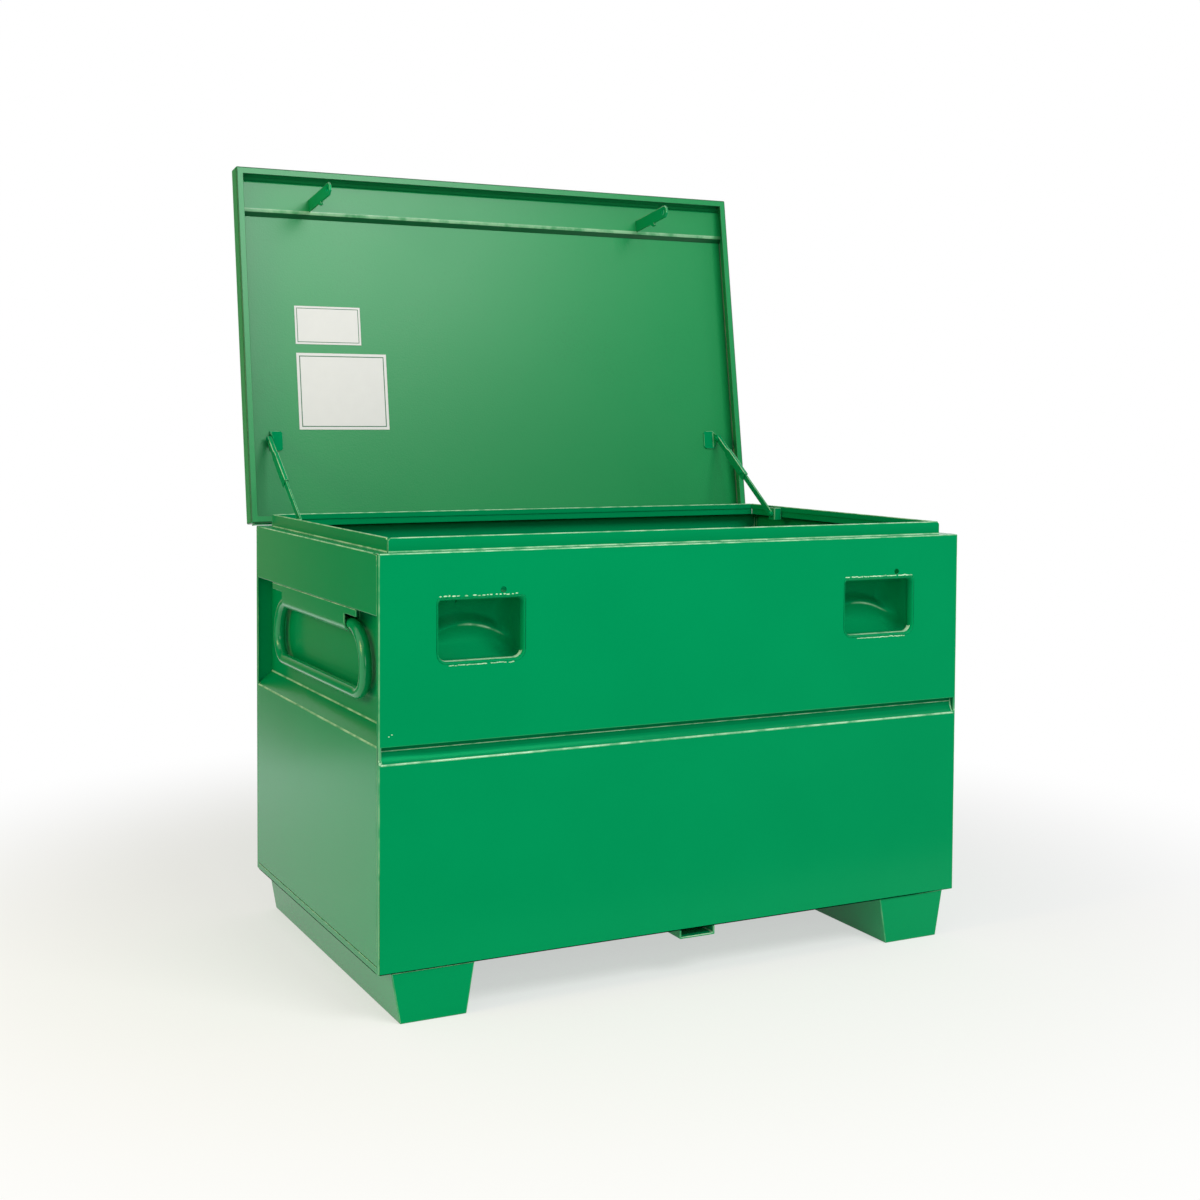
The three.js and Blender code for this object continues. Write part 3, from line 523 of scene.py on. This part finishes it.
def mark_front(mesh):
    """The front panel's painted light: its holes for the cups lose their painted highlight and get painted
    shade at their sides, the round hole above each cup is painted dark with shade, and the groove's hollow
    gets painted shade that deepens towards its upper edge."""
    centre, normal = values(mesh.polygons, "center", 3), values(mesh.polygons, "normal", 3)
    amount = values(mesh.attributes["painted_light"].data, "value")
    round_it, hole_depth = 2 * MM, 8 * MM
    vent_across, vent_above, vent_reach = 41 * MM, 11 * MM, 8 * MM
    # Painted shade at the sides of each cup hole and inside the round hole above it
    for side in SIDES:
        low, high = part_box(f"{side}_lock_cup")
        by_cup = (centre[:, 0] > low.x - round_it) & (centre[:, 0] < high.x + round_it)
        by_cup &= (centre[:, 2] > low.z - round_it) & (centre[:, 2] < high.z + round_it)
        by_cup &= (centre[:, 1] < low.y + hole_depth) & (amount > 0)
        amount[by_cup] = np.where(abs(normal[by_cup, 0]) > 0.15, -0.8, 0)
        vent = np.array([(low.x + high.x) / 2 + vent_across, high.z + vent_above])
        near_vent = np.linalg.norm(centre[:, [0, 2]] - vent, axis=1) < vent_reach
        amount[near_vent & (normal[:, 1] > -0.98)] = -1
    # Painted shade in the groove's hollow, darker towards its upper edge
    groove_up, half_tall = 464 * MM, 15 * MM
    groove_y, half_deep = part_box("front_panel")[0].y + 7 * MM, 6 * MM
    in_groove = (abs(centre[:, 2] - groove_up) < half_tall) & (abs(centre[:, 1] - groove_y) < half_deep)
    in_groove &= (normal[:, 1] < 0.3) & (amount == 0)
    share_up = (centre[in_groove, 2] - groove_up + half_tall) / (2 * half_tall)
    amount[in_groove] = -0.1 - 0.5 * share_up
    set_painted_light(mesh, amount)


def mark_stiffener(mesh):
    """The stiffener's painted light: painted highlights on its roundings where they face outwards, and
    painted shade where they face down."""
    up = values(mesh.polygons, "normal", 3)[:, 2]
    amount = np.minimum(0.6, 4 * values(mesh.attributes["painted_light"].data, "value")) * (up < 0.12)
    amount[(amount == 0) & (up < -0.3)] = -0.8
    set_painted_light(mesh, amount)


OUTSIDE = ["front_panel", "rear_panel", "right_side_panel", "left_side_panel", "floor_pan", "right_skid",
           "left_skid", "floor_channel", "hinge_body_leaf", "left_handle_bracket", "right_handle_bracket",
           "left_stay_body_bracket", "right_stay_body_bracket"]
ON_LID = ["left_lock_tongue", "right_lock_tongue", "left_stay_lid_bracket", "right_stay_lid_bracket"]
# Every folded piece gets painted highlights on its roundings, unless its edge light says otherwise
for node in OUTSIDE:
    folded(node.replace("_", "-"), node, "box", green_enamel)
mark_front(bpy.data.objects["front-panel"].data)
# The lid shell's roundings are painted dark with shade instead of highlights
folded("lid-shell", "lid_shell", "lid", liner_enamel, edge_light=-0.7, bend=3 * MM)
folded("lid-leaf", "hinge_lid_leaf", "lid", green_enamel)
stiffener = folded("lid-stiffener", "lid_stiffener", "lid", liner_enamel, bend=6 * MM)
mark_stiffener(stiffener.data)
for node in ON_LID:
    folded(node.replace("_", "-"), node, "lid", green_enamel, edge_light=0.5)
for side in SIDES:
    upper, lower = f"{side}_upper_link", f"{side}_lower_link"
    folded(f"{side}-upper-link", f"{side}_stay_upper_link", upper, green_enamel,
           bend=1.2 * MM)
    folded(f"{side}-lower-link", f"{side}_stay_lower_link", lower, green_enamel)


def closed_skin(name, points, faces):
    """A smooth mesh of faces on points: points that meet are joined, and the faces are turned outwards."""
    mesh = bpy.data.meshes.new(name)
    mesh.from_pydata(points.reshape(-1, 3).tolist(), [], faces)
    with opened(mesh) as shape:
        bmesh.ops.remove_doubles(shape, verts=shape.verts, dist=JOIN_SKIN)
        bmesh.ops.recalc_face_normals(shape, faces=shape.faces)
    mesh.polygons.foreach_set("use_smooth", [True] * len(mesh.polygons))
    return mesh


def quads(above, below):
    """Four-sided faces between the rows of two grids of point numbers, closed round each row."""
    return np.stack([above, np.roll(above, -1, 1), np.roll(below, -1, 1), below], -1).reshape(-1, 4)


def surface(name, points, body, material, nodes=(), joined_ends=False):
    """A grid of points, rows by columns, joined into a skin of quads that wraps round each row; the last
    row is joined to the first, or else the first and last rows are closed with a face."""
    rows, columns = points.shape[:2]
    place = np.arange(rows * columns).reshape(rows, columns)
    if joined_ends:
        faces = quads(place, np.roll(place, -1, 0)).tolist()
    else:
        faces = quads(place[:-1], place[1:]).tolist() + [place[0][::-1].tolist(), place[-1].tolist()]
    return finish_piece(name, closed_skin(name, points, faces), body, material, nodes)


# Handles
def rounded_ring(half_across, high, low, top_radius, bottom_radius, count):
    """Points in equal steps round a rectangle with rounded corners: four quarter circles and the straight
    runs between them."""
    quarter, steps = np.pi / 2, 24
    corners = [(half_across - bottom_radius, low + bottom_radius, bottom_radius, -quarter),
               (half_across - top_radius, high - top_radius, top_radius, 0.0),
               (top_radius - half_across, high - top_radius, top_radius, quarter),
               (bottom_radius - half_across, low + bottom_radius, bottom_radius, np.pi)]
    arcs = []
    for across, up, radius, start in corners:
        angle = np.linspace(start, start + quarter, steps)
        arcs.append(np.stack([across + radius * np.cos(angle), up + radius * np.sin(angle)], 1))
    line = np.concatenate(arcs + [arcs[0][:1]])
    run = np.concatenate([[0], np.cumsum(np.linalg.norm(np.diff(line, axis=0), axis=1))])
    even = np.linspace(0, run[-1], count + 1)[:-1]
    return np.stack([np.interp(even, run, line[:, 0]), np.interp(even, run, line[:, 1])], 1)


def round_bar(ring, x, radius, count):
    """A circle carried round a closed ring in the plane at x: each point is the ring's point, plus the
    circle's cosine along the ring's outward normal and its sine along X."""
    along = np.roll(ring, -1, 0) - np.roll(ring, 1, 0)
    along /= np.linalg.norm(along, axis=1)[:, None]
    outward = np.stack([along[:, 1], -along[:, 0]], 1)
    angle = around(count)
    flat = ring[:, None] + outward[:, None] * (radius * np.cos(angle))[None, :, None]
    across = np.broadcast_to(x + radius * np.sin(angle), flat.shape[:2])
    return np.stack([across, flat[..., 0], flat[..., 1]], -1)


HANDLE_TOP_BEND, HANDLE_LOW_BEND = 72 * MM, 46 * MM
for side in SIDES:
    low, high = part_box(f"{side}_handle")
    radius = (high.x - low.x) / 2
    ring = rounded_ring((high.y - low.y) / 2 - radius, high.z - radius, low.z + radius, HANDLE_TOP_BEND,
                        HANDLE_LOW_BEND, 300)
    ring[:, 0] += (low.y + high.y) / 2
    surface(f"{side}-handle", round_bar(ring, (low.x + high.x) / 2, radius, 28), f"{side}_drop_handle",
            bar_enamel, [f"{side}_handle"], joined_ends=True)


# Rivets and the hinge pin
PIN_SHARP = math.radians(50)


def turned(name, node, body, outward, head_at_end):
    """A round pin along X: a domed head of quarter-ellipse section at its start, a shank, and where asked a
    head at its end too; the circle's angle runs along the columns."""
    low, high = (np.array(v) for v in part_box(node))
    radius = (high[2] - low[2]) / 2
    head, shank, length = 2.2 * MM, 4 * MM, high[0] - low[0]
    near_end, cone = 0.6 * MM, 0.3 * MM
    angle = np.linspace(0, np.pi / 2, 7)
    dome = np.stack([head * (1 - np.cos(angle)), radius * np.sin(angle)], 1)
    if head_at_end:
        far = [[length - head, shank], *[[length - along, across] for along, across in dome[::-1]]]
    else:
        far = [[length - near_end, shank], [length - cone, shank], [length, 0.0]]
    profile = np.array([*dome, [head, shank], *far])
    turn = around(32)
    start = low[0] if outward > 0 else high[0]
    x = np.broadcast_to(start + outward * profile[:, :1], (len(profile), len(turn)))
    y = (low[1] + high[1]) / 2 + profile[:, 1:] * np.cos(turn)
    z = (low[2] + high[2]) / 2 + profile[:, 1:] * np.sin(turn)
    pin = surface(name, np.stack([x, y, z], -1), body, green_enamel, [node])
    pin.data.set_sharp_from_angle(angle=PIN_SHARP)


def hinge_pin():
    """A straight round pin along X whose ends narrow over their last millimetre."""
    low, high = (np.array(v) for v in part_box("hinge_pin"))
    narrow, end_share = 1 * MM, 0.8
    turn = around(24)
    along = np.array([low[0], low[0] + narrow, high[0] - narrow, high[0]])[:, None]
    thick = np.array([end_share, 1, 1, end_share])[:, None] * (high[2] - low[2]) / 2
    middle = (low + high) / 2
    pin = np.stack([along + 0 * turn, middle[1] + thick * np.cos(turn), middle[2] + thick * np.sin(turn)], -1)
    surface("hinge-pin", pin, "box", green_enamel, ["hinge_pin"])


for side, outward in (("left", -1), ("right", 1)):
    turned(f"{side}-elbow-rivet", f"{side}_stay_elbow_rivet", f"{side}_upper_link", outward, True)
    turned(f"{side}-lid-rivet", f"{side}_stay_lid_rivet", "lid", outward, True)
    turned(f"{side}-body-rivet", f"{side}_stay_body_rivet", f"{side}_lower_link", outward, False)
hinge_pin()


# Lock cups, in millimetres
CREASE_UP, CREASE_ARCH, CREASE_HALF = 57, 23, 74
CREASE_DEEP, BACK_DEEPER, BACK_RISE = 75, 21, 24
TONGUE_X = {"left": -443, "right": 372}


def over_crease(across, up):
    """How far a point lies above the crease, a parabola that is highest in the cup's middle."""
    return up - (CREASE_UP - CREASE_ARCH * (across / CREASE_HALF) ** 2)


def cup_depth(across, up):
    """How deep the back of a cup lies behind its rim: 75 mm at the crease and 96 mm from 24 mm above it,
    with a smooth step between; under the crease it leans in by up to 5 mm and then comes forward to 49 mm
    at the bottom. The crease itself is eased by a hyperbola."""
    over = over_crease(across, up)
    eased = np.sqrt(over ** 2 + 2)
    above, under = (eased + over) / 2, (eased - over) / 2
    share = under / CREASE_UP
    scoop = 36 * share * (1 - share) ** 2 - 26 * share ** 3
    rise = np.clip(above / BACK_RISE, 0, 1)
    return CREASE_DEEP + BACK_DEEPER * rise * rise * (3 - 2 * rise) + 0.25 * above * (1 - rise) + scoop


def cut_slot(piece, middle, size):
    """Cuts a block out of a piece; its middle and size are in millimetres."""
    slot = bpy.data.meshes.new("slot")
    block = bmesh.new()
    bmesh.ops.create_cube(block, size=1)
    scale = Matrix.Diagonal((*(side * MM for side in size), 1))
    place = Matrix.Translation([side * MM for side in middle])
    bmesh.ops.transform(block, verts=block.verts, matrix=place @ scale)
    block.to_mesh(slot)
    block.free()
    cutter = in_scene("slot", slot)
    cut = piece.modifiers.new("tongue_slot", "BOOLEAN")
    cut.operation, cut.object, cut.solver = "DIFFERENCE", cutter, "EXACT"
    applied(piece)
    bpy.data.objects.remove(cutter)


def lock_cup(side):
    """A drawn pocket behind a turned-in rim: rings of points run from the middle of its outer back over the
    walls and the rim, out again into the wider pocket and along its walls and its round bottom edge to the
    middle of its dished back; then the tongue's slot is cut."""
    node = f"{side}_lock_cup"
    low, high = (np.array(v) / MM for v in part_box(node))
    middle, base = (low[0] + high[0]) / 2, low[2]
    half, tall, deep, count = (high[0] - low[0]) / 2, high[2] - low[2], high[1] - low[1], 260
    rim_in, rim_deep, wall_in, fillet = 4.7, 14, 2.2, 26
    wall_end, slot_size, slot_into, slot_down = 40, (19, 47, 32), 71.8, 10

    def ring(inset):
        """The cup's outline set in by inset; its upper corners grow rounder and its lower ones sharper."""
        top_corner, low_corner = 4.7 + 0.4 * inset, max(18.7 - 0.6 * inset, 8)
        return rounded_ring(half - inset, tall - inset, inset, top_corner, low_corner, count)

    centre = np.array([0, tall / 2])
    rings = [(share * ring(0) + (1 - share) * centre, deep) for share in (0, 0.5, 0.98)]
    rings += [(ring(0), deep - 1), (ring(0), deep / 2)]
    lead = [(rim_in * math.sin(turn), rim_deep * (1 - math.cos(turn)))
            for turn in np.linspace(0.25, np.pi / 2, 9)]
    hem = [(rim_in - 0.1, rim_deep + 0.7), (rim_in - 0.6, rim_deep + 1.2), (wall_in + 0.6, rim_deep + 1.6),
           (wall_in, rim_deep + 2.4)]
    profile = [(0.0, 0.8), (0.2, 0.2), (0.7, 0.0), *lead, *hem, (wall_in, 24), (wall_in, 34)]
    rings += [(ring(inset), into) for inset, into in profile]
    for angle in np.linspace(0.15, np.pi / 2, 14):
        here = ring(wall_in + fillet * (1 - math.cos(angle)))
        rings.append((here, wall_end + (cup_depth(here[:, 0], here[:, 1]) - wall_end) * math.sin(angle)))
    back = ring(wall_in + fillet)
    for share in np.linspace(0.98, 0, 50):
        here = centre + share * (back - centre)
        rings.append((here, cup_depth(here[:, 0], here[:, 1])))
    points = np.array([np.stack([middle + at[:, 0], low[1] + into + 0 * at[:, 0], base + at[:, 1]], 1)
                       for at, into in rings])
    piece = surface(f"{side}-lock-cup", points * MM, "box", satin_enamel, [node])
    cut_slot(piece, (TONGUE_X[side], low[1] + slot_into, high[2] - slot_down), slot_size)
    piece.data.set_sharp_from_angle(angle=PIN_SHARP)
    mark_cup(piece.data, low, middle, rim_deep)


def mark_cup(mesh, low, middle, rim_deep):
    """A cup's painted highlights: on the rim's inner edge where it faces up, and along the crease of its
    back, where the highlight falls off as a bell over 1.6 mm and towards both ends."""
    crease_wide, highlight_middle, highlight_half, highlight_fade = 1.6, 28, 44, 26
    centre, normal = values(mesh.polygons, "center", 3) / MM, values(mesh.polygons, "normal", 3)
    into, across = centre[:, 1] - low[1], centre[:, 0] - middle
    on_rim = 1.5 * ((into > rim_deep - 8) & (into < rim_deep + 1) & (normal[:, 2] > 0.3))
    bell = np.exp(-(over_crease(across, centre[:, 2] - low[2]) / crease_wide) ** 2)
    window = np.clip((highlight_half - abs(across - highlight_middle)) / highlight_fade, 0, 1)
    set_painted_light(mesh, np.maximum(on_rim, bell * (into > 60) * window * 0.8))


for side in SIDES:
    lock_cup(side)


# Welds, in millimetres
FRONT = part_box("front_panel")[0].y / MM


def lumps(name, centres, halves):
    """Drops of weld under paint: a flattened ball at each centre, with its own half sizes."""
    rows, columns = 7, 12
    up, turn = np.linspace(0, np.pi, rows)[:, None], around(columns)
    ball = np.stack([np.sin(up) * np.cos(turn), np.sin(up) * np.sin(turn), np.cos(up) + 0 * turn], -1)
    points = centres[:, None, None] + halves[:, None, None] * ball
    place = np.arange(rows * columns).reshape(rows, columns)
    first = np.arange(len(centres)) * rows * columns
    faces = (quads(place[:-1], place[1:]) + first[:, None, None]).reshape(-1, 4)
    mesh = closed_skin(name, points * MM, faces.tolist())
    piece = finish_piece(name, mesh, "box", bar_enamel, [])
    # Painted highlight: the welds are pale all over
    set_painted_light(piece.data, 1.6)


def weld_row(name, start, end, pitch, length, height, gap_share, seed):
    """A row of lumps on the front between two points: each has its own length, height and small shift, and
    a share of them is left out."""
    shift_share, shift_up, half_deep = 0.12, 0.35, 0.7
    chance = np.random.default_rng(seed)
    start, end = np.array(start, float), np.array(end, float)
    count = int(np.linalg.norm(end - start) / pitch)
    kept = np.sort(chance.permutation(count)[:int(count * (1 - gap_share))])
    share = (kept + 0.5) / count
    centres = start + (end - start) * share[:, None]
    centres += chance.normal(0, 1, centres.shape) * [shift_share * pitch, 0, shift_up]
    halves = np.stack([length * chance.uniform(0.6, 1.3, len(kept)), np.full(len(kept), half_deep),
                       height * chance.uniform(0.7, 1.2, len(kept))], 1)
    lumps(name, centres, halves)


def cup_welds(side, pitch, gap_share, seed):
    """The welds along a cup's upper and lower edges."""
    low, high = (np.array(v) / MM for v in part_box(f"{side}_lock_cup"))
    above, below = 3.6, 2.6
    top, base = high[2] + above, low[2] - below
    weld_row(f"{side}-cup-top-weld", (low[0] + 3, FRONT, top), (high[0] - 5, FRONT, top), pitch=pitch,
             length=3.1, height=1.2, gap_share=gap_share, seed=seed)
    weld_row(f"{side}-cup-low-weld", (low[0] + 22, FRONT, base), (high[0] - 20, FRONT, base), pitch=5,
             length=3.6, height=0.9, gap_share=0.08, seed=seed + 1)


def groove_seam():
    """The seam where the two sheets lap inside the groove: a flattened bead that runs out at both ends."""
    half, run_out, end_share = 603.0, 1.5, 0.2
    deep, up = FRONT + 11.4, 471.5
    thick, tall = 1.3, 0.9
    rail = np.array([[-half, end_share], [run_out - half, 1.0], [half - run_out, 1.0], [half, end_share]])
    turn = around(12)
    seam = np.stack([rail[:, :1] + 0 * turn, deep + thick * rail[:, 1:] * np.cos(turn),
                     up + tall * rail[:, 1:] * np.sin(turn)], -1)
    bead = surface("groove-seam", seam * MM, "box", green_enamel)
    # Painted highlight along the bead
    set_painted_light(bead.data, 0.7)


def weld_spots():
    """Spots of weld at corners and ends: each row has a spot's centre and its half sizes. The rear spots
    mirror the front ones about the middle of the box's depth."""
    left, spot_y, spot_up, spot_x = -609.0, -442, 830.6, 582.8
    low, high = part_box("floor_channel")
    front_edge = FRONT + 11.3
    rear_edge = 2 * (low.y / 2 + high.y / 2) / MM - front_edge
    spots = np.array([
        [-607.4, FRONT, 452, 2.2, 0.7, 2.8],
        [-603.8, FRONT + 0.4, 449.6, 2.6, 0.9, 1.5],
        [-608.9, FRONT + 1, 457, 0.9, 1, 2],
        [607.6, FRONT, 454, 1.8, 0.7, 2.4],
        [-591.3, FRONT, 497.6, 1.3, 0.5, 1],
        [-586, FRONT, 500.5, 1.6, 0.5, 1],
        [left, front_edge, 804, 0.6, 2.4, 2],
        [left, front_edge, 799, 0.6, 1.6, 3.2],
        [left, front_edge, 788, 0.6, 1.2, 2.2],
        [left, rear_edge, 800, 0.6, 1.6, 2.4],
        [left, rear_edge, 791, 0.6, 1.3, 3],
        [left, rear_edge, 781, 0.6, 1.5, 2],
        [-spot_x, spot_y, spot_up, 1.6, 3, 1.8],
        [spot_x, spot_y, spot_up, 1.6, 3, 1.8]])
    lumps("weld-spots", spots[:, :3], spots[:, 3:])


cup_welds("left", pitch=7.5, gap_share=0.12, seed=3)
cup_welds("right", pitch=4.5, gap_share=0.05, seed=8)
groove_seam()
weld_spots()


# Labels
for node, margin, line in (("rating_label", 5 * MM, 1.5 * MM), ("notice_label", 7 * MM, 2 * MM)):
    vinyl = bordered_film(f"{node}_vinyl", node, margin, line)
    folded(node.replace("_", "-"), node, "lid", vinyl, edge_light=0.0, bend=0.1 * MM)


low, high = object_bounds()
